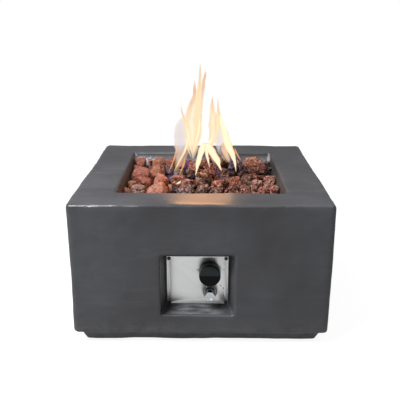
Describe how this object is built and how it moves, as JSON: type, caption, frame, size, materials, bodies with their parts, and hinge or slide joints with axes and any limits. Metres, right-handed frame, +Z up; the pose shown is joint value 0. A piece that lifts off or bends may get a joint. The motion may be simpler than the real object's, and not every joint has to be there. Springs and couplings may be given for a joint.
{
  "type": "tabletop gas fire pit",
  "caption": "Square cast tabletop fire pit: a bowl of lava rock over a gas burner, with a recessed panel holding a push-and-turn valve knob and a push-button igniter.",
  "frame": {"origin": "on the ground, under the middle of the casing", "axes": "+Z up, +Y from the control panel towards the gas inlet at the rear, +X to the right seen from the front"},
  "size_m": [0.4, 0.4, 0.232],
  "materials": {
    "cast_casing": "cast fibre cement, sealed to a soft sheen",
    "base_sheet": "matt powder coat",
    "foot_rubber": "moulded",
    "zinc_fasteners": "zinc plated",
    "tray_steel": "stainless sheet, heat tinted",
    "burner_steel": "stainless tube, heat tinted",
    "gas_brass": "machined",
    "pipe_aluminium": "drawn",
    "electrode_white": "fired, matt",
    "probe_steel": "drawn",
    "panel_steel": "brushed, satin",
    "dark_screws": "black oxide",
    "knob_black": "moulded, gloss",
    "igniter_chrome": "plated",
    "igniter_plastic": "moulded",
    "spring_steel": "drawn wire",
    "lead_sleeve": "heat-proof sleeve",
    "lava_rock": "porous, dusty"
  },
  "bodies": {
    "housing": {"casing": "cast_casing", "base_plate": "base_sheet", "rubber_feet": "foot_rubber", "foot_screws": "zinc_fasteners", "base_screws": "zinc_fasteners", "burner_tray": "tray_steel", "tray_screws": "zinc_fasteners", "heat_shield": "tray_steel", "shield_spacers": "zinc_fasteners", "shield_bolts": "zinc_fasteners", "shield_nuts": "zinc_fasteners", "burner_ring": "burner_steel", "hub_nut": "gas_brass", "mixer_tube": "gas_brass", "injector_elbow": "gas_brass", "injector_jet": "gas_brass", "pilot_bracket": "tray_steel", "pilot_screws": "zinc_fasteners", "flame_sensor": "probe_steel", "electrode_ceramic": "electrode_white", "electrode_wire": "probe_steel", "control_panel": "panel_steel", "panel_screws": "dark_screws", "panel_inserts": "gas_brass", "valve_body": "gas_brass", "valve_screws": "dark_screws", "safety_magnet": "gas_brass", "sensor_lead_nut": "gas_brass", "valve_spring": "spring_steel", "igniter_bezel": "igniter_chrome", "igniter_body": "igniter_plastic", "igniter_nut": "igniter_plastic", "igniter_spring": "spring_steel", "inlet_fitting": "gas_brass", "inlet_lock_nut": "gas_brass", "supply_nut_inlet": "gas_brass", "supply_nut_valve": "gas_brass", "outlet_nut_valve": "gas_brass", "outlet_nut_injector": "gas_brass", "supply_pipe": "pipe_aluminium", "outlet_pipe": "pipe_aluminium", "sensor_lead": "lead_sleeve", "ignition_lead": "lead_sleeve", "lava_rocks_upper": "lava_rock", "lava_rocks_lower": "lava_rock"},
    "push_rod": {"valve_push_rod": "probe_steel"},
    "knob": {"control_knob": "knob_black", "valve_stem": "probe_steel"},
    "igniter_button": {"igniter_button": "igniter_chrome"}
  },
  "joints": [
    {"name": "knob_push", "type": "slide", "parent": "housing", "child": "push_rod", "axis": [0, 1, 0], "range_m": [0, 0.004], "stiffness_N_per_m": 1500, "springref_m": -0.003, "deforming": ["valve_spring"]},
    {"name": "knob_turn", "type": "hinge", "parent": "push_rod", "child": "knob", "pos_m": [0.014, 0, 0.1124], "axis": [0, 1, 0], "range_deg": [-90, 90]},
    {"name": "igniter_push", "type": "slide", "parent": "housing", "child": "igniter_button", "axis": [0, 1, 0], "range_m": [0, 0.005], "stiffness_N_per_m": 1200, "springref_m": -0.002, "deforming": ["igniter_spring"]}
  ]
}
